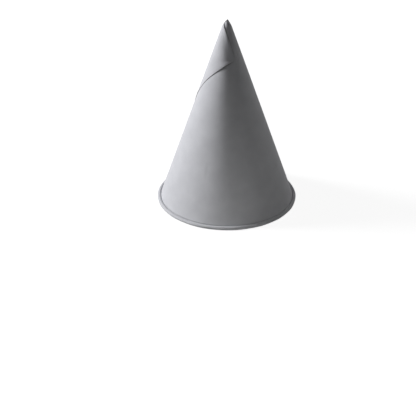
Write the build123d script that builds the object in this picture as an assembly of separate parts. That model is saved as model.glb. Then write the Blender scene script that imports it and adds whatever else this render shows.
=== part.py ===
from build123d import *
import os
from math import acos, atan2, ceil, cos, degrees, hypot, radians, sin, sqrt, tan

# A cone-shaped paper drinking cup, rolled from one flat sheet, standing mouth down on its rolled rim.
# Millimetres and degrees. The Z axis is the cone's axis, and the origin is on the rest plane.
# Directions about the axis are 0 towards -Y and 90 towards +X. A winding angle is such a direction that
# goes on counting past a full turn: it falls from the sheet's outer corner to its hidden inner end.

# Overall sizes
rim_diameter = 72.0
point_height = 100.0  # rest plane to the point where the straight sides would meet
paper = 0.18

# Rolled rim: the sheet's lower edge turned outward and back to the wall
bead_diameter = 2.0
rest_flat = 0.4  # width of the flat that the roll stands on
tuck_gap = 0.1  # between the wall and the tucked end of the roll
tuck_length = 0.5
root_margin = 0.02  # by which the roll's root is thicker than the wound wall, on each face
root_depth = 0.1  # by which the wall reaches down into that root
root_rise = 0.3  # height over which the root tapers into the wall
roll_flatness = 0.025  # depth of the flats that the roll's round section is drawn with

# Cut of the flat sheet: the distance of each straight edge from the cone's point, and the bearing of
# its nearest spot. These two edges meet in the sheet's outer corner.
seam_distance = 22.2
seam_bearing = 28.2
tip_distance = 3.6
tip_bearing = -70.8
corner_width = 0.4  # the corner isn't sharp
inner_end_direction = -33.0
full_turns_inside = 2  # turns counted from the front to the inner end

# Tip: the turns end in a slanting edge, and the innermost paper is pinched shut below it
tip_slant = 32.0
pinch_depth = 6.6  # from the cone's point to the top of the cup's inside
pinch_thickness = 0.6
crown_share = 0.8  # the uncut wall reaches this share of tip_distance from the point

# Outermost part of the sheet, in plies: how far it reaches into the wall, itself included, and by how
# much the block that cuts its edges stands clear of it
turn_overlap = 1.5
cut_margin = 1.0
curve_points = 31  # along each cut edge of that part
angle_margin = 1e-6  # a winding angle this close to the next half turn counts as being in it
solving_steps = 60

# Derived: the bead, its centre's distance from the axis and height, and the roll of two plies
bead_radius = bead_diameter / 2
bead_centre = rim_diameter / 2 - bead_radius
bead_height = sqrt(bead_radius**2 - (rest_flat / 2) ** 2)
roll_paper = 2 * paper


def half_angle(face_distance):
    """Half angle of the cone whose outer face passes face_distance from the bead's centre."""
    height = point_height - bead_height
    return degrees(acos(face_distance / hypot(bead_centre, height)) - atan2(height, bead_centre))


def join_height(angle):
    """Height where the wall passes into the roll."""
    return bead_height - bead_radius * sin(radians(angle))


def seam_direction(slant, angle):
    """Winding angle where the seam edge crosses this slant distance from the point."""
    return (seam_bearing - degrees(acos(seam_distance / slant))) / sin(radians(angle))


def solve_wall():
    """Half angle, winding angle of the seam at the rim, and distance from bead centre to outer face."""
    inner_end = inner_end_direction - 360 * full_turns_inside
    angle = half_angle(bead_radius / 2)
    for _ in range(solving_steps):
        rim_slant = (point_height - join_height(angle)) / cos(radians(angle))
        seam_at_rim = seam_direction(rim_slant, angle)
        wound = paper * (1 + (seam_at_rim - inner_end) / 360)
        face_distance = bead_radius - root_margin - wound
        angle = half_angle(face_distance)
    return angle, seam_at_rim, inner_end, face_distance


cone_angle, seam_at_rim, inner_end, face_distance = solve_wall()
sin_cone = sin(radians(cone_angle))
cos_cone = cos(radians(cone_angle))
tan_cone = tan(radians(cone_angle))

crown_height = point_height - crown_share * tip_distance
pinch_height = point_height - pinch_depth


def radial_point(direction, radius, height):
    """Point in a direction about the Z axis, at a radius and a height."""
    turn = radians(direction)
    return Vector(radius * sin(turn), -radius * cos(turn), height)


def half_turn(winding):
    """Number of the sheet's half turn at a winding angle, counted from the inner end."""
    return int((winding - inner_end + angle_margin) // 180)


def half_turn_start(number):
    """Winding angle where a half turn starts, nearest the inner end."""
    return inner_end + 180 * number


def turn_centre(number):
    """Centre of a half turn. Two centres in turn, half a ply apart, make the half circles a spiral."""
    side = 1 if number % 2 else -1
    return radial_point(inner_end_direction, side * paper / (4 * cos_cone), 0)


def lift(number):
    """Height of a half turn's outer face over the plain cone that has its point at point_height."""
    return paper * (half_turn_start(number) + 90 - seam_at_rim) / 360


def turn_radius(number, height, depth):
    """Radius of a half turn at a height, depth below its outer face."""
    return (point_height - height) * tan_cone + (lift(number) - depth) / cos_cone


def edge_slant(winding, distance, bearing):
    """Slant distance from the point to a straight edge of the flat sheet."""
    return distance / cos(radians(winding * sin_cone - bearing))


def on_slant(winding, slant, depth):
    """Point of the wound sheet at a slant distance from the point, depth below its outer face."""
    number = half_turn(winding)
    offset = lift(number) - depth
    radius = slant * sin_cone + offset * cos_cone
    height = point_height - slant * cos_cone + offset * sin_cone
    return turn_centre(number) + radial_point(winding, radius, height)


def sector(number, start, end, low, high, depth, thickness):
    """Part of a half turn between two winding angles and two heights, from depth below its outer face.

    It is solid in to its own axis if thickness is None.
    """
    corners = [(turn_radius(number, height, depth), height) for height in (low, high)]
    for height in (high, low):
        hollow = 0 if thickness is None else turn_radius(number, height, depth + thickness)
        corners.append((hollow, height))
    points = [turn_centre(number) + radial_point(start, *corner) for corner in corners]
    profile = Face(Wire.make_polygon(points, close=True))
    return revolve(profile, Axis(turn_centre(number), (0, 0, 1)), end - start)


def wound(start, end, low, high, depth, thickness=None):
    """The sheet between two winding angles and two heights, or all that it encloses."""
    sectors = []
    while start < end:
        number = half_turn(start)
        stop = min(end, half_turn_start(number + 1))
        sectors.append(sector(number, start, stop, low, high, depth, thickness))
        start = stop
    return Part() + sectors


def winding_curve(start, end, place):
    """Smooth curve through place(winding), with the winding angle as its parameter."""
    steps = [i / (curve_points - 1) for i in range(curve_points)]
    points = [place(start + (end - start) * step) for step in steps]
    return Edge.make_spline(points, parameters=steps)


def slanting_cut():
    """Everything above the slanting edge of the tip."""
    top_direction = tip_bearing / sin_cone
    radius = tip_distance * sin_cone
    top = radial_point(top_direction, radius, point_height - tip_distance * cos_cone)
    across = radial_point(top_direction, 1, 0)
    normal = Vector(0, 0, 1) * cos(radians(tip_slant)) - across * sin(radians(tip_slant))
    size = rim_diameter
    block = Box(size, size, size, align=(Align.CENTER, Align.CENTER, Align.MIN))
    return Plane(origin=top, z_dir=normal) * block


def wall():
    """Wound wall without its outermost turn, open below and pinched shut below the tip."""
    base = join_height(cone_angle) - root_depth
    skin = wound(seam_at_rim - 360, seam_at_rim, base, crown_height, 0) - slanting_cut()
    inside = wound(inner_end, inner_end + 360, base, pinch_height, paper)
    tip_recess = wound(inner_end, inner_end + 360, pinch_height + pinch_thickness, crown_height, paper)
    return skin - inside - tip_recess


def corner_winding():
    """Winding angle just before the outer corner, where the sheet is corner_width wide."""
    low, high = seam_at_rim, (tip_bearing + 90) / sin_cone
    for _ in range(solving_steps):
        middle = (low + high) / 2
        seam = edge_slant(middle, seam_distance, seam_bearing)
        tip = edge_slant(middle, tip_distance, tip_bearing)
        low, high = (middle, high) if seam - tip > corner_width else (low, middle)
    return low


def edge_block(corner):
    """Block with the outline of the sheet between its seam edge and its tip edge."""

    def edge_curve(distance, bearing, depth):
        def place(winding):
            return on_slant(winding, edge_slant(winding, distance, bearing), depth)

        return winding_curve(seam_at_rim, corner, place)

    above = -cut_margin * paper
    below = (turn_overlap + cut_margin) * paper
    seam_out = edge_curve(seam_distance, seam_bearing, above)
    seam_in = edge_curve(seam_distance, seam_bearing, below)
    tip_out = edge_curve(tip_distance, tip_bearing, above)
    tip_in = edge_curve(tip_distance, tip_bearing, below)
    faces = [
        Face.make_surface_from_curves(seam_out, tip_out),
        Face.make_surface_from_curves(seam_in, tip_in),
        Face.make_surface_from_curves(seam_out, seam_in),
        Face.make_surface_from_curves(tip_out, tip_in),
    ]
    for at in (0, 1):
        corners = [seam_out @ at, tip_out @ at, tip_in @ at, seam_in @ at]
        faces.append(Face(Wire.make_polygon(corners, close=True)))
    return Solid(Shell(faces))


def outermost_turn():
    """Outermost part of the sheet, from the seam edge up to the tip edge."""
    corner = corner_winding()
    end = half_turn_start(half_turn(corner) + 1)
    base = join_height(cone_angle) - root_depth
    ply = wound(seam_at_rim, end, base, crown_height, 0, turn_overlap * paper)
    return ply & edge_block(corner)


def roll_point(out, up):
    """Point of the rim's section, from the bead's centre: out from the wall, and up along it."""
    radius = bead_centre + out * cos_cone - up * sin_cone
    height = bead_height + out * sin_cone + up * cos_cone
    return Vector(radius, 0, height)


def roll_arc(centre, radius, start, end):
    """Round stretch of the rim's section, in flats. Its angles are 0 out from the wall, 90 up along it."""
    widest_flat = 2 * degrees(acos(1 - roll_flatness / radius))
    flats = ceil(abs(end - start) / widest_flat)
    turns = [radians(start + (end - start) * i / flats) for i in range(flats + 1)]
    return [roll_point(centre[0] + radius * cos(turn), centre[1] + radius * sin(turn)) for turn in turns]


def rolled_rim():
    """The rolled rim: wall side, under, outside and top, then tucked down beside the wall."""
    tuck_face = tuck_gap - face_distance
    lean = degrees(acos((roll_paper + tuck_face) / (bead_radius - roll_paper)))
    turn_in = 360 + lean
    bend = (tuck_face + roll_paper, (bead_radius - roll_paper) * sin(radians(lean)))

    # The root starts as an edge inside the wound wall. On its outer side it leads into the hollow.
    root_tip = roll_point((root_margin - bead_radius - face_distance) / 2, root_rise)
    hollow = bead_radius - roll_paper
    root_out = root_margin - face_distance
    root_up = -(bead_radius + root_out) * tan_cone
    root_radius = (hollow**2 - root_out**2 - root_up**2) / (2 * (hollow + root_out))
    root_centre = (root_out + root_radius, root_up)
    root_end = 360 + degrees(atan2(root_centre[1], root_centre[0]))

    # The underside is level with the table, and the roll is widest level with its centre
    below = 270 - cone_angle
    half_flat = degrees(atan2(rest_flat / 2, bead_height))
    widest = 360 - cone_angle
    tuck_end = bend[1] - tuck_length

    outline = roll_arc((0, 0), bead_radius, 180, below - half_flat)
    outline += roll_arc((0, 0), bead_radius, below + half_flat, widest)
    outline += roll_arc((0, 0), bead_radius, widest, turn_in)[1:]
    outline += roll_arc(bend, roll_paper, turn_in, 540)[1:]
    outline += [roll_point(tuck_face, tuck_end), roll_point(tuck_face + roll_paper, tuck_end)]
    outline += roll_arc((0, 0), hollow, turn_in, root_end)
    outline += roll_arc(root_centre, root_radius, root_end, 180)[1:]
    outline.append(root_tip)
    return revolve(Face(Wire.make_polygon(outline, close=True)), Axis.Z)


cone_cup = wall() + outermost_turn() + rolled_rim()

os.makedirs("parts", exist_ok=True)
export_step(cone_cup, "parts/cone_cup.step")
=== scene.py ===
import math
import random
import bmesh
import bpy
import numpy as np
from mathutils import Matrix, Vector


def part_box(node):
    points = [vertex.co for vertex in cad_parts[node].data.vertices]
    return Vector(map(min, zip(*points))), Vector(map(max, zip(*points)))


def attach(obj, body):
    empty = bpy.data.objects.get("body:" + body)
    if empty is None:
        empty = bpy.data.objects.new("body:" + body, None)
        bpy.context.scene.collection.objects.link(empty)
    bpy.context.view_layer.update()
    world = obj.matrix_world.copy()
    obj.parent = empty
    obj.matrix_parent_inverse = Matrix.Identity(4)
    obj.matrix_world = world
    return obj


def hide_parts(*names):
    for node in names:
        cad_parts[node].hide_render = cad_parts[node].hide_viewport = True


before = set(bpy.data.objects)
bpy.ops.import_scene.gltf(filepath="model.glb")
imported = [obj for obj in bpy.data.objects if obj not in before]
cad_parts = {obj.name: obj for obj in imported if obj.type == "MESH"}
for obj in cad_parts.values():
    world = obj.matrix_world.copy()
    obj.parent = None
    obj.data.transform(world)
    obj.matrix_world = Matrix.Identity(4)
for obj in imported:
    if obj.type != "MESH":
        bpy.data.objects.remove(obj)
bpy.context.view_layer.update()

# A cone-shaped paper cup, wound from one sheet, standing mouth down on a pale floor.
# Metres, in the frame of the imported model. Directions about the axis are 0 towards -Y and 90 towards
# +X, in degrees. A winding angle is such a direction that goes on counting past a full turn, and falls
# from the sheet's outer edge to its inner end. A slant distance is one from the cone's point.

mm = 0.001

# Sizes of the cup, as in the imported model
rim_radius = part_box("cone_cup")[1].x
point_height = 100.0 * mm
paper = 0.18 * mm
cone_angle = math.radians(19.1944)
bead_radius = 1.0 * mm
rest_flat = 0.4 * mm
wall_to_bead = 0.499 * mm  # from the bead's centre to the wall's outer face
tuck_length = 0.5 * mm
root_margin = 0.02 * mm  # by which the roll's root stands out from the wall's outer face
root_rise = 0.3 * mm

# Cut of the flat sheet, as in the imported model: each straight edge's distance from the cone's point and
# the bearing of its nearest spot, and the winding angles of the seam at the rim and of the inner end
seam_distance = 22.2 * mm
seam_bearing = math.radians(28.2)
tip_distance = 3.6 * mm
tip_bearing = math.radians(-70.8)
seam_at_rim = -150.9
inner_end = -753.0

# How the cut edges differ from that
seam_strays = ((0.9 * mm, 42 * mm, 12 * mm), (-0.5 * mm, 23 * mm, 5 * mm))  # by, at slant, over reach
corner_slant = 22.85 * mm  # of the sheet's outer corner, where the two edges meet
corner_softness = 2.0  # degrees, over which that corner is rounded

# Tip: the turns end in a slanting cut, and the paper is pinched together below it
tip_slant = math.radians(32.0)
tip_top = 3.45 * mm  # slant distance of the cut's highest spot
tip_top_direction = 90.0
tip_flap_end = 5.65 * mm  # slant distance where the outermost turn ends
pinch_from = 7.6 * mm  # slant distance where the pinch starts
tip_pinch = 0.45  # share by which the cut is pinched in
flap_pinch = 0.3  # the same, for the end of the outermost turn
tip_shift = -0.25 * mm  # of the pinched tip, towards +X
tip_mouth = 0.8  # share of the pinched tip that is open
tip_floor = 93.8 * mm  # height of the floor of the recess in the tip
cap_share = 0.1  # of a closing disc's radius, where its rings end
recess_rings = ((0.9, 0.6), (0.7, 1), (cap_share, 1))  # share of the mouth, and of the way down
ceiling = 93.4 * mm  # height of the top of the cup's inside
pleats = 9  # of the pinched paper in the ceiling
pleat_height = 0.15 * mm

# Rolled rim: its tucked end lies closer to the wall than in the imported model
tuck_gap = 0.03 * mm
ply_step = 0.06 * mm  # by which the roll is thinner where it holds one ply less
step_width = 0.6  # degrees, in which the roll changes its thickness

# Edges that stand off the ply below them
seam_lift = 0.2 * mm
tip_lift = 0.25 * mm
inner_end_lift = 0.05 * mm
lift_waves = ((0.3, 4.1 * mm), (0.2, 1.7 * mm))  # uneven share of the seam's lift, and slant for a radian
gap_depth = 9.0 * mm  # how far in the gap below a long edge reaches
gap_halved_at = 40.0 * mm  # slant distance where it reaches half as far
gap_shares = np.array([0, 0.02, 0.06, 0.13, 0.25, 0.4, 0.6, 0.8, 1.0])  # mesh lines across the gap
glued_reach = (2.0 * mm, 1.0 * mm)  # from the sheet's corner along the tip edge, and along the seam
loosest_slant = 25.0 * mm  # the seam lies flatter from here down
flatter_reach = 5.5 * mm
flatter_share = 0.24
clamped_reach = 8.0 * mm  # above the rim
least_share = 0.05  # of the lift, at the rim

# Painted shade on the paper beside an edge that lies on it, and in the crease between the wall and the
# roll
seam_shade_insets = np.array([1.0, 0.5, 0.2, 0]) * mm  # mesh lines beside the edge; the painted shade is darkest at the edge and fades out across them
tip_shade_share = 0.65  # share of that painted shade along the tip edge
crease_rows = np.array([0.6, 0.9, 1.2, 1.55]) * mm  # mesh lines up the wall from the bead's centre
crease_shares = np.array([1, 1, 0.8, 0])
crease_depths = (0.15 * mm, 0.4 * mm)  # in from the bead's centre, between which the painted shade on the roll grows
crease_shade_strength = 0.72  # most painted shade in the crease
# Direction about the axis where the painted crease shade is strongest, and how far around it fades
crease_direction = -20.0
crease_reach = 55.0  # degrees

# Slight unevenness of the paper
kink_spacing = 24.0  # degrees between the corners of the rim
first_kink = (0.2, 0.8)  # least and most, in spacings
kink_spread = (0.75, 1.25)
kink_depth = 0.12 * mm
kink_reach = 7.0 * mm
lean = 0.0058  # of the wall towards -X
wall_wave = 0.04 * mm
wave_start = 10.0 * mm  # radius where the wave of the wall has its full size
# The wave's parts: how many waves go around, and the height over which each changes by a radian
wave_parts = ((2, 17 * mm), (3, 26 * mm), (5, 21 * mm), (7, 34 * mm))

# Mesh
turn_columns = 300
roll_columns = 300
lowest_row = 0.35 * mm  # down the wall from the bead's centre, inside the roll
row_spans = ((30 * mm, 1.6 * mm), (18 * mm, 0.3 * mm), (pinch_from, 0.6 * mm))  # up to slant, step
tip_rows = 10
inner_rows = 60
pleat_rings = 9
arc_step = 8.0  # degrees along the roll's section
weld = 0.005 * mm
sharp_angle = math.radians(38)
sheet_scale = 10  # texture coordinates are decimetres of the flat sheet

# Finish of the paper. Noise scales are counts in a decimetre
paper_colour = (0.723, 0.73, 0.757, 1)
paper_shade = (0.663, 0.67, 0.697, 1)
raw_edge_colour = (0.50, 0.49, 0.48, 1)
# Colour of the painted shade beside the seams and in the crease, and of the faint darker streak
shade_and_streak_colour = (0.13, 0.13, 0.135, 1)
cloud_scale, cockle_scale, grain_scale, fibre_scale = 14, 9, 420, 150
cloud_range = (0.3, 0.7)
grain_range = (0.3, 0.7)
fleck_range = (0.60, 0.78)
fleck_strength = 0.35
fibre_stretch = (1, 0.16, 1)
cross_stretch = (0.2, 1, 1)
relief_shares = (0.5, 0.4, 0.35)  # of fibres, crossing fibres and grain
fine_bump = {"Strength": 0.35, "Distance": 0.02 * mm}
cockle_bump = {"Strength": 0.6, "Distance": 0.25 * mm}
roughness_range = (0.74, 0.86)
gloss = {"Specular IOR Level": 0.25, "Sheen Weight": 0.06, "Sheen Roughness": 0.5}
streak_place = (-384.5, 77.8 * mm)  # winding and slant of a faint darker streak
streak_size = (5.5 * mm, 1.3 * mm)
streak_strength = 0.12

# Studio
floor_colour = (0.27, 0.27, 0.27, 1)
floor_size = 3.0
floor_glow = (0.9, 1.0)  # by the cup, and from glow_distance away
glow_distance = 0.5
world_light = 0.003
lamps = [
    # name, direction and elevation in degrees, distance and size in metres, watts, colour
    ("key", -100.5, 26, 1.2, 0.34, 13.9, (0.995, 0.995, 1.015)),
    ("fill", 120, 10, 1.2, 0.5, 1.9, (1.0, 0.995, 0.985)),
    ("front", 0, 8, 1.2, 0.5, 0.26, (1.0, 0.995, 0.985)),
    ("top", 0, 88, 1.2, 0.5, 0.84, (1.0, 0.995, 0.985)),
    ("low_front", -5, -30, 0.095, 0.04, 0.0099, (1.0, 0.995, 0.985)),
]
camera_place = (-0.00967, -0.50267, 0.28026)
camera_tilt = math.radians(60.215)
camera_lens = 95.37  # millimetres

# Worked out: the bead's centre, where the wall passes it, and how a gap's height falls across it
bead_centre = rim_radius - bead_radius
bead_height = math.sqrt(bead_radius**2 - (rest_flat / 2) ** 2)
sin_cone, cos_cone = math.sin(cone_angle), math.cos(cone_angle)
bead_slant = math.sqrt(bead_centre**2 + (point_height - bead_height) ** 2 - wall_to_bead**2)
gap_shape = 1 - gap_shares**2 * (3 - 2 * gap_shares)

# Drawn at random: the phases of the wave's parts, and the corners of the rim
rng = random.Random(7)
wave_phases = [(rng.uniform(0, 2 * math.pi), rng.uniform(0, 2 * math.pi)) for _ in wave_parts]
kinks = [kink_spacing * rng.uniform(*first_kink)]
while kinks[-1] < 360 - kink_spacing:
    kinks.append(kinks[-1] + kink_spacing * rng.uniform(*kink_spread))


def radial(direction, radius, height):
    """Points in directions about the axis, in degrees, at radii and heights."""
    turn = np.radians(direction)
    parts = np.broadcast_arrays(radius * np.sin(turn), -radius * np.cos(turn), height)
    return np.stack(parts, axis=-1)


def on_sheet(winding, slant, offset):
    """Points of the wound sheet at a slant distance, offset outwards."""
    radius = slant * sin_cone + offset * cos_cone
    height = point_height - slant * cos_cone + offset * sin_cone
    return radial(winding, radius, height)


def flat_sheet(winding, slant):
    """Texture coordinates: places on the flat sheet before it was wound."""
    turn = np.radians(winding * sin_cone)
    parts = np.broadcast_arrays(slant * np.cos(turn), slant * np.sin(turn))
    return np.stack(parts, axis=-1) * sheet_scale


def lift(winding):
    """Height of the sheet's outer face over the cone that has its point at point_height."""
    return paper * (winding - seam_at_rim) / 360


def insets(slant):
    """Distances from an edge of the sheet to the mesh lines beside it."""
    return gap_depth * slant / (slant + gap_halved_at) * gap_shares


def outer_edge(slant, inset):
    """Winding angle of the sheet's outer edge, or inset from it: seam below the corner, tip edge above."""
    strays = sum(by * np.exp(-(((slant - at) / reach) ** 2)) for by, at, reach in seam_strays)
    seam = seam_bearing - np.arccos(np.clip((seam_distance + strays - inset) / slant, -1, 1))
    tip = tip_bearing + np.arccos(np.clip((tip_distance + inset) / slant, -1, 1))
    seam, tip = np.degrees(seam) / sin_cone, np.degrees(tip) / sin_cone
    return -corner_softness * np.logaddexp(-seam / corner_softness, -tip / corner_softness)


def free_edge(slant):
    """How open the outer edge is, from 0 at the sheet's corner, where it is glued down, to 1."""
    reach = np.where(slant < corner_slant, *glued_reach)
    free = 1 - np.exp(-(((slant - corner_slant) / reach) ** 2))
    below = np.maximum(slant - loosest_slant, 0) / flatter_reach
    return free * (flatter_share + (1 - flatter_share) * np.exp(-(below**2)))


def clamped(slant):
    """Share of an edge's lift that is left, since the roll holds the edge down near the rim."""
    return np.maximum(1 - np.exp(-(((slant - bead_slant) / clamped_reach) ** 2)), least_share)


def outer_lift(slant):
    """How far the outer edge stands off at a slant distance."""
    uneven = 1 + sum(share * np.sin(slant / length) for share, length in lift_waves)
    seam = seam_lift * clamped(slant) * uneven
    return np.where(slant < corner_slant, tip_lift, seam) * free_edge(slant)


def tip_cut(winding):
    """Slant distance where the slanting cut of the tip passes."""
    slope = math.tan(tip_slant) * sin_cone
    away = np.radians(winding - tip_top_direction)
    return tip_top * (cos_cone + slope) / (cos_cone + slope * np.cos(away))


def crease_painted_shade(direction):
    """Painted shade in the crease between the wall and the roll, strongest towards crease_direction."""
    away = (direction - crease_direction + 180) % 360 - 180
    return crease_shade_strength * np.exp(-((away / crease_reach) ** 2))


def waves(direction, height):
    """Smooth uneven pattern between about -1 and 1 over the wall."""
    pattern = 0
    for (around, up), (turn, rise) in zip(wave_parts, wave_phases):
        pattern = pattern + np.sin(np.radians(around * direction) + turn) * np.sin(height / up + rise)
    return pattern / 2


def flex(points):
    """Points moved by the paper's unevenness: corners of the rim, and a wave and a lean of the wall."""
    direction = np.degrees(np.arctan2(points[..., 0], -points[..., 1])) % 360
    radius = np.hypot(points[..., 0], points[..., 1])
    height = points[..., 2]
    corners = np.array([kinks[-1] - 360] + kinks + [kinks[0] + 360])
    at = np.clip(np.searchsorted(corners, direction) - 1, 0, len(corners) - 2)
    share = (direction - corners[at]) / (corners[at + 1] - corners[at])
    near_rim = np.exp(-((np.maximum(height, 0) / kink_reach) ** 2))
    flat = kink_depth * (1 - (2 * share - 1) ** 2) * near_rim
    size = wall_wave * (1 - near_rim) * np.clip(radius / wave_start, 0, 1)
    scale = 1 + (size * waves(direction, height) - flat) / np.maximum(radius, paper)
    leant = points[..., 0] * scale - lean * np.maximum(height - bead_height, 0)
    return np.stack([leant, points[..., 1] * scale, height], axis=-1)


def join_lower_edges(mesh):
    """Joins the open lower edges of the wall's two sides, inside the roll."""
    joined = bmesh.new()
    joined.from_mesh(mesh)
    lower = [point for point in joined.verts if point.is_boundary]
    bmesh.ops.remove_doubles(joined, verts=lower, dist=weld)
    bmesh.ops.bridge_loops(joined, edges=[edge for edge in joined.edges if edge.is_boundary])
    joined.to_mesh(mesh)
    joined.free()


class Shell:
    """A mesh gathered from grids of points, with texture coordinates, marks for raw edges, and painted
    shade beside the seams and in the crease.
    """

    def __init__(self):
        self.points, self.raw, self.seam, self.quads, self.quad_sheet = [], [], [], [], []
        self.caps, self.cap_sheet = [], []
        self.count = 0

    def patch(self, points, sheet, raw=0.0, seam=0.0, wrap=False, cap=False):
        """Adds a grid of points: rows go up and columns to the left, seen from outside the paper. Wrap
        closes its rows on themselves, sheet then has a column more, and cap fills the last row."""
        shape = points.shape[:2]
        numbers = self.count + np.arange(shape[0] * shape[1]).reshape(shape)
        self.count += numbers.size
        self.points.append(points.reshape(-1, 3))
        self.raw.append(np.broadcast_to(raw, shape).ravel())
        self.seam.append(np.broadcast_to(seam, shape).ravel())
        if cap:
            self.caps.append(numbers[-1, ::-1].tolist())
            self.cap_sheet.append(sheet[-1, shape[1] - 1 :: -1])
        if wrap:
            numbers = np.concatenate([numbers, numbers[:, :1]], axis=1)
        for grid, kept in ((numbers, self.quads), (sheet, self.quad_sheet)):
            corners = (grid[:-1, :-1], grid[1:, :-1], grid[1:, 1:], grid[:-1, 1:])
            stacked = np.stack(corners, axis=2)
            kept.append(stacked.reshape((-1,) + stacked.shape[2:]))

    def wall(self, points, sheet, seam=0.0):
        """Adds rows of the wall that each start at the flap's raw edge, go around the cup and come back
        under the flap. Closes the flap's end, and returns the rest of the last row and of its sheet."""
        raw = np.zeros(points.shape[:2])
        raw[:, 0] = raw[:, -1] = 1
        self.patch(points, np.concatenate([sheet, sheet[:, :1]], axis=1), raw, seam, wrap=True)
        count = len(gap_shares)
        last, last_sheet = points[-1], sheet[-1]
        ends = np.stack([last[:count], last[-count:][::-1]])
        self.patch(ends, np.stack([last_sheet[:count]] * 2), raw=1)
        rest = slice(count - 1, len(last) - count + 1)
        return last[rest], np.concatenate([last_sheet[rest], last_sheet[rest][:1]])

    def make(self, name):
        """The finished object."""
        mesh = bpy.data.meshes.new(name)
        faces = np.concatenate(self.quads).tolist() + self.caps
        mesh.from_pydata(flex(np.concatenate(self.points)).tolist(), [], faces)
        sheet = np.concatenate([part.reshape(-1, 2) for part in self.quad_sheet + self.cap_sheet])
        mesh.uv_layers.new(name="sheet").uv.foreach_set("vector", sheet.ravel())
        # The raw edges' mark, and the painted shade beside the seams and in the crease
        for mark, values in (("raw_edge", self.raw), ("painted_shade_mark", self.seam)):
            data = mesh.attributes.new(mark, "FLOAT", "POINT").data
            data.foreach_set("value", np.concatenate(values).astype(np.float32))
        join_lower_edges(mesh)
        mesh.polygons.foreach_set("use_smooth", np.ones(len(mesh.polygons), bool))
        mesh.set_sharp_from_angle(angle=sharp_angle)
        made = bpy.data.objects.new(name, mesh)
        bpy.context.scene.collection.objects.link(made)
        return made


def wall_rows():
    """Slant distances of the wall's outer rows below the pinch, closest about the sheet's corner."""
    rows, start = [], bead_slant
    for end, step in row_spans:
        rows.append(np.arange(start, end, -step))
        start = end
    rim_rows = np.array([bead_slant + lowest_row, bead_slant, *(bead_slant - crease_rows)])
    return np.concatenate([rim_rows, np.concatenate(rows)[1:]])


def outer_painted_shade(slants, winding, face_columns):
    """Painted shade on the wall's outside: beside its outer edge, below that edge's flap, and in the
    crease.
    """
    mark = np.zeros(winding.shape)
    mark[:, face_columns - len(seam_shade_insets) : face_columns] = 1 - seam_shade_insets / seam_shade_insets[0]
    mark[:, face_columns : -len(gap_shares)] = 1
    mark *= free_edge(slants) * np.where(slants < corner_slant, tip_shade_share, 1)
    crease = np.interp(bead_slant - slants, crease_rows, crease_shares)
    return np.maximum(mark, crease * crease_painted_shade(winding))


def outer_skin(shell):
    """The wall's outside, from the roll up to the slanting cut of the tip. Returns its upper edge."""
    rows = wall_rows()
    tip = slice(len(rows), None)
    steps = np.linspace(0, 1, tip_rows + 1)
    slants = np.concatenate([rows, pinch_from + (tip_flap_end - pinch_from) * steps])[:, None]
    steps = steps[:, None]
    count = len(gap_shares)

    flap = outer_edge(slants, insets(slants))
    marked = outer_edge(slants, -seam_shade_insets) - 360
    whole = np.linspace(0, 1, turn_columns + 1)[1:]
    around = flap[:, -1:] + (marked[:, :1] - flap[:, -1:]) * whole
    face = np.concatenate([flap, around, marked[:, 1:]], axis=1)
    winding = np.concatenate([face, flap[:, 1:-1] - 360, flap[:, ::-1]], axis=1)

    # In the tip's rows the flap goes to its own end, and every other column to the slanting cut
    beside_flap = np.ones(winding.shape[1])
    beside_flap[:count] = gap_shares
    beside_flap[-count:] = gap_shares[::-1]
    slant = np.broadcast_to(slants, winding.shape).copy()
    end = tip_flap_end + (tip_cut(winding[tip]) - tip_flap_end) * beside_flap
    slant[tip] = pinch_from + (end - pinch_from) * steps

    raised = outer_lift(slants) * gap_shape
    offset = lift(winding)
    offset[:, :count] += raised
    offset[:, -count:] += raised[:, ::-1] - paper
    points = on_sheet(winding, slant, offset)
    pinch = (flap_pinch + (tip_pinch - flap_pinch) * beside_flap) * steps**2
    points[tip, :, :2] *= 1 - pinch[..., None]
    points[tip, :, 0] += tip_shift * steps**2
    # Painted shade beside the outer edge, under its flap and in the crease
    mark = outer_painted_shade(slants, winding, face.shape[1])
    return shell.wall(points, flat_sheet(winding, slant), mark)


def tip_recess(shell, outside, around):
    """The slanting cut's edge, in to the narrow mouth of the tip, and the recess below that mouth."""
    middle = np.array([tip_shift, 0, outside[:, 2].mean()])
    inside = middle + (outside - middle) * tip_mouth
    rings = [outside, inside]
    for share, depth in recess_rings:
        lower = middle + (inside - middle) * share
        lower[:, 2] += (tip_floor - lower[:, 2]) * depth
        rings.append(lower)
    raw = np.zeros((len(rings), 1))
    raw[:2] = 1
    shell.patch(np.stack(rings), np.stack([around] * len(rings)), raw, wrap=True, cap=True)


def inner_skin(shell):
    """The inside of the cup: the innermost turn with its straight end. Returns its upper edge."""
    top_slant = (point_height - ceiling) / cos_cone
    slants = np.linspace(bead_slant + lowest_row, top_slant, inner_rows)[:, None]
    flap = inner_end + np.degrees(insets(slants) / slants) / sin_cone
    whole = np.linspace(0, 1, turn_columns + 1)[1:]
    around = flap[:, -1:] + (flap[:, :1] + 360 - flap[:, -1:]) * whole
    winding = np.concatenate([flap, around, flap[:, 1:-1] + 360, flap[:, ::-1]], axis=1)
    raised = inner_end_lift * clamped(slants) * gap_shape
    offset = lift(winding) - paper
    count = len(gap_shares)
    offset[:, :count] -= raised
    offset[:, -count:] += paper - raised[:, ::-1]
    return shell.wall(on_sheet(winding, slants, offset), flat_sheet(winding, slants))


def inner_ceiling(shell, edge, around):
    """The top of the cup's inside, with the small folds of the pinched paper."""
    folds = np.sin(pleats * np.arctan2(edge[:, 0], -edge[:, 1]))
    rings = []
    for share in np.linspace(1, cap_share, pleat_rings):
        pleat = pleat_height * folds * share * (1 - share) * 4
        rings.append(np.stack([edge[:, 0] * share, edge[:, 1] * share, edge[:, 2] + pleat], axis=-1))
    shell.patch(np.stack(rings), np.stack([around] * len(rings)), wrap=True, cap=True)


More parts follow.
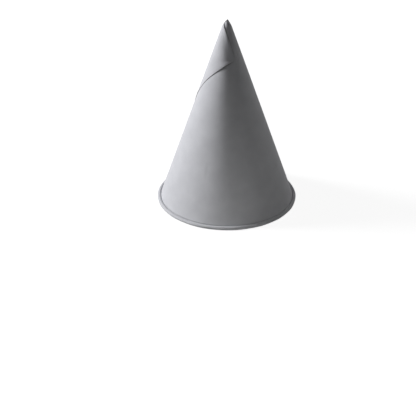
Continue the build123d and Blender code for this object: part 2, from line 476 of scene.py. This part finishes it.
def arc(centre, radius, start, end):
    """Points of the roll's section, out from the wall and up along it. Angles are 0 out, 90 up."""
    count = max(2, math.ceil(abs(end - start) / arc_step) + 1)
    turns = np.radians(np.linspace(start, end, count))
    return [(centre[0] + radius * math.cos(turn), centre[1] + radius * math.sin(turn)) for turn in turns]


def roll_section():
    """Closed outline of the rolled rim's section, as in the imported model, and which points are raw."""
    roll_paper = 2 * paper
    hollow = bead_radius - roll_paper
    tuck_face = tuck_gap - wall_to_bead
    past_turn = math.acos((roll_paper + tuck_face) / hollow)
    turn_in = 360 + math.degrees(past_turn)
    bend = (tuck_face + roll_paper, hollow * math.sin(past_turn))
    root_out = root_margin - wall_to_bead
    root_up = -(bead_radius + root_out) * sin_cone / cos_cone
    root_radius = (hollow**2 - root_out**2 - root_up**2) / (2 * (hollow + root_out))
    root_centre = (root_out + root_radius, root_up)
    root_end = 360 + math.degrees(math.atan2(root_centre[1], root_centre[0]))
    below = 270 - math.degrees(cone_angle)
    half_flat = math.degrees(math.atan2(rest_flat / 2, bead_height))
    tuck_end = bend[1] - tuck_length

    outline = arc((0, 0), bead_radius, 180, below - half_flat)
    outline += arc((0, 0), bead_radius, below + half_flat, turn_in)
    outline += arc(bend, roll_paper, turn_in, 540)[1:]
    first_raw = len(outline)
    outline += [(tuck_face, tuck_end), (tuck_face + roll_paper, tuck_end)]
    outline += arc((0, 0), hollow, turn_in, root_end)
    outline += arc(root_centre, root_radius, root_end, 180)[1:]
    outline.append(((root_margin - bead_radius - wall_to_bead) / 2, root_rise))
    raw = np.zeros(len(outline))
    raw[first_raw : first_raw + 2] = 1
    return np.array(outline)[::-1], raw[::-1]


def rolled_rim(shell):
    """The rolled rim. It steps in slightly where it holds one ply less."""
    section, raw = roll_section()
    steps = [(seam_at_rim, 1), (inner_end + 720, -1)]
    directions = np.linspace(-180, 180, roll_columns, endpoint=False)
    for at, _ in steps:
        directions = np.append(directions, at + np.linspace(-0.5, 0.5, 5) * step_width)
    directions = np.unique(np.round(directions, 4))
    thin = sum(side * np.clip((directions - at) / step_width + 0.5, 0, 1) for at, side in steps)
    shrink = 1 - thin * ply_step / bead_radius
    out, up = section[:, :1] * shrink, section[:, 1:] * shrink
    radius = bead_centre + out * cos_cone - up * sin_cone
    height = bead_height * shrink + out * sin_cone + up * cos_cone
    length = np.concatenate([[0], np.cumsum(np.hypot(*np.diff(section, axis=0).T))])
    around = np.append(directions, directions[0] + 360)
    sheet = flat_sheet(around[None, :] - 360, bead_slant + length[:, None])
    points = radial(directions, radius, height)
    # Painted shade in the crease, on the roll's upper side next to the wall
    depths = np.interp(-section[:, :1], crease_depths, (0, 1)) * (section[:, 1:] > bead_radius / 2)
    mark = depths * crease_painted_shade(directions)
    parts = (points, sheet, raw[:, None], mark)
    points, sheet, raw, mark = (np.concatenate([part, part[:1]]) for part in parts)
    shell.patch(points, sheet, raw, mark, wrap=True)


def add(tree, kind, inputs=(), **settings):
    """A new shader node. Its inputs are given by name or number, each a value or another node's output."""
    made = tree.nodes.new(kind)
    for name, value in settings.items():
        setattr(made, name, value)
    for key, value in dict(inputs).items():
        if isinstance(value, bpy.types.NodeSocket):
            tree.links.new(value, made.inputs[key])
        else:
            made.inputs[key].default_value = value
    return made


def new_material(name):
    """An empty node material, with its tree and its output node."""
    made = bpy.data.materials.new(name)
    made.use_nodes = True
    made.node_tree.nodes.clear()
    return made, made.node_tree, made.node_tree.nodes.new("ShaderNodeOutputMaterial")


def white_paper():
    """Uncoated white cup paper: cloudy tone, fine fibres, darker and warmer raw edges, painted shade
    beside the seams and in the crease, and a faint darker streak.
    """
    made, tree, output = new_material("white_paper")
    place = add(tree, "ShaderNodeUVMap", uv_map="sheet").outputs["UV"]

    def noise(scale, detail, stretch=(1, 1, 1), roughness=0.5):
        scaled = add(tree, "ShaderNodeMapping", {"Vector": place, "Scale": stretch}).outputs[0]
        settings = {"Vector": scaled, "Scale": scale, "Detail": detail, "Roughness": roughness}
        return add(tree, "ShaderNodeTexNoise", settings).outputs[0]

    def ramp(value, reach, bottom, top):
        inputs = {"Value": value, "From Min": reach[0], "From Max": reach[1]}
        inputs.update({"To Min": bottom, "To Max": top})
        return add(tree, "ShaderNodeMapRange", inputs).outputs[0]

    def math_node(operation, first, second):
        return add(tree, "ShaderNodeMath", {0: first, 1: second}, operation=operation).outputs[0]

    def mix(factor, first, second):
        inputs = {"Factor": factor, 6: first, 7: second}
        return add(tree, "ShaderNodeMix", inputs, data_type="RGBA").outputs[2]

    clouds = noise(cloud_scale, detail=4)
    grain = noise(grain_scale, detail=3, roughness=0.65)
    fibres = noise(fibre_scale, detail=3, stretch=fibre_stretch, roughness=0.6)
    cross = noise(fibre_scale, detail=3, stretch=cross_stretch, roughness=0.6)
    cockle = noise(cockle_scale, detail=2)

    tone = mix(ramp(clouds, cloud_range, 0, 1), paper_shade, paper_colour)
    flecks = math_node("MULTIPLY", ramp(fibres, fleck_range, 0, 1), fleck_strength)
    tone = mix(flecks, tone, paper_shade)
    raw = add(tree, "ShaderNodeAttribute", attribute_name="raw_edge").outputs["Fac"]
    tone = mix(raw, tone, raw_edge_colour)
    # Painted shade beside the seams and in the crease, squared, mixed towards the dark colour
    seam = add(tree, "ShaderNodeAttribute", attribute_name="painted_shade_mark").outputs["Fac"]
    tone = mix(math_node("MULTIPLY", seam, seam), tone, shade_and_streak_colour)

    # A faint darker streak, strongest at its middle
    streak_axes = {
        "Vector": place,
        "Location": flat_sheet(*streak_place).tolist() + [0],
        "Rotation": (0, 0, math.radians(streak_place[0] * sin_cone)),
        "Scale": (streak_size[0] * sheet_scale, streak_size[1] * sheet_scale, 1),
    }
    near = add(tree, "ShaderNodeMapping", streak_axes, vector_type="TEXTURE").outputs[0]
    distance = add(tree, "ShaderNodeVectorMath", {0: near}, operation="LENGTH").outputs["Value"]
    tone = mix(ramp(distance, (0, 1), streak_strength, 0), tone, shade_and_streak_colour)

    parts = zip((fibres, cross, grain), relief_shares)
    reliefs = [math_node("MULTIPLY", part, share) for part, share in parts]
    height = math_node("ADD", math_node("ADD", reliefs[0], reliefs[1]), reliefs[2])
    fine = add(tree, "ShaderNodeBump", {**fine_bump, "Height": height}).outputs[0]
    normal = add(tree, "ShaderNodeBump", {**cockle_bump, "Height": cockle, "Normal": fine}).outputs[0]
    roughness = ramp(grain, grain_range, *roughness_range)
    surface = {**gloss, "Base Color": tone, "Roughness": roughness, "Normal": normal}
    shader = add(tree, "ShaderNodeBsdfPrincipled", surface)
    tree.links.new(shader.outputs[0], output.inputs["Surface"])
    return made


def shown_rays(tree):
    """1 for what the camera, a gloss or a transmission sees, and 0 for light on the object."""
    rays = add(tree, "ShaderNodeLightPath").outputs
    seen = rays["Is Camera Ray"]
    for name in ("Is Glossy Ray", "Is Transmission Ray"):
        seen = add(tree, "ShaderNodeMath", {0: seen, 1: rays[name]}, operation="MAXIMUM").outputs[0]
    return seen


def studio_floor():
    """A pale floor that shows white and keeps the object's shadow."""
    corners = [(-floor_size, -floor_size, 0), (floor_size, -floor_size, 0)]
    corners += [(floor_size, floor_size, 0), (-floor_size, floor_size, 0)]
    mesh = bpy.data.meshes.new("floor")
    mesh.from_pydata(corners, [], [(0, 1, 2, 3)])
    floor = bpy.data.objects.new("floor", mesh)
    bpy.context.scene.collection.objects.link(floor)
    made, tree, output = new_material("floor")
    matt = add(tree, "ShaderNodeBsdfDiffuse", {"Color": floor_colour}).outputs[0]
    place = add(tree, "ShaderNodeTexCoord").outputs["Object"]
    distance = add(tree, "ShaderNodeVectorMath", {0: place}, operation="LENGTH").outputs["Value"]
    spread = {"To Min": floor_glow[0], "To Max": floor_glow[1], "From Max": glow_distance}
    level = add(tree, "ShaderNodeMapRange", {"Value": distance, **spread}).outputs[0]
    strength = add(tree, "ShaderNodeMath", {0: shown_rays(tree), 1: level}, operation="MULTIPLY")
    glow = add(tree, "ShaderNodeEmission", {"Strength": strength.outputs[0]}).outputs[0]
    both = add(tree, "ShaderNodeAddShader", {0: matt, 1: glow}).outputs[0]
    tree.links.new(both, output.inputs["Surface"])
    mesh.materials.append(made)


def studio_world():
    """A very weak light from all round. What is seen of it is white."""
    world = bpy.data.worlds.new("studio")
    world.use_nodes = True
    tree = world.node_tree
    tree.nodes.clear()
    white = (1, 1, 1, 1)
    around = add(tree, "ShaderNodeBackground", {"Color": white, "Strength": world_light}).outputs[0]
    seen = add(tree, "ShaderNodeBackground", {"Color": white, "Strength": 1}).outputs[0]
    mixed = add(tree, "ShaderNodeMixShader", {0: shown_rays(tree), 1: around, 2: seen}).outputs[0]
    output = tree.nodes.new("ShaderNodeOutputWorld")
    tree.links.new(mixed, output.inputs["Surface"])
    bpy.context.scene.world = world


def lamp(name, direction, elevation, distance, size, power, colour):
    """A square soft light that faces the middle of the cup."""
    target = Vector((0, 0, point_height / 2))
    low = math.radians(elevation)
    turn = math.radians(direction)
    out = Vector((math.sin(turn) * math.cos(low), -math.cos(turn) * math.cos(low), math.sin(low)))
    light = bpy.data.lights.new(name, "AREA")
    light.size = size
    light.energy = power
    light.color = colour
    made = bpy.data.objects.new(name, light)
    made.location = target + out * distance
    made.rotation_euler = out.to_track_quat("Z", "Y").to_euler()
    made.visible_camera = False
    bpy.context.scene.collection.objects.link(made)


def camera():
    """The viewpoint: from the front and above, with a long lens."""
    view = bpy.data.cameras.new("camera")
    view.lens = camera_lens
    made = bpy.data.objects.new("camera", view)
    made.location = camera_place
    made.rotation_euler = (camera_tilt, 0, 0)
    bpy.context.scene.collection.objects.link(made)
    bpy.context.scene.camera = made


cup = Shell()
tip_recess(cup, *outer_skin(cup))
inner_ceiling(cup, *inner_skin(cup))
rolled_rim(cup)
cup_paper = cup.make("cup_paper")
cup_paper.data.materials.append(white_paper())
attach(cup_paper, "root")
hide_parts("cone_cup")

studio_floor()
studio_world()
for lamp_values in lamps:
    lamp(*lamp_values)
camera()
bpy.context.scene.view_settings.view_transform = "Standard"
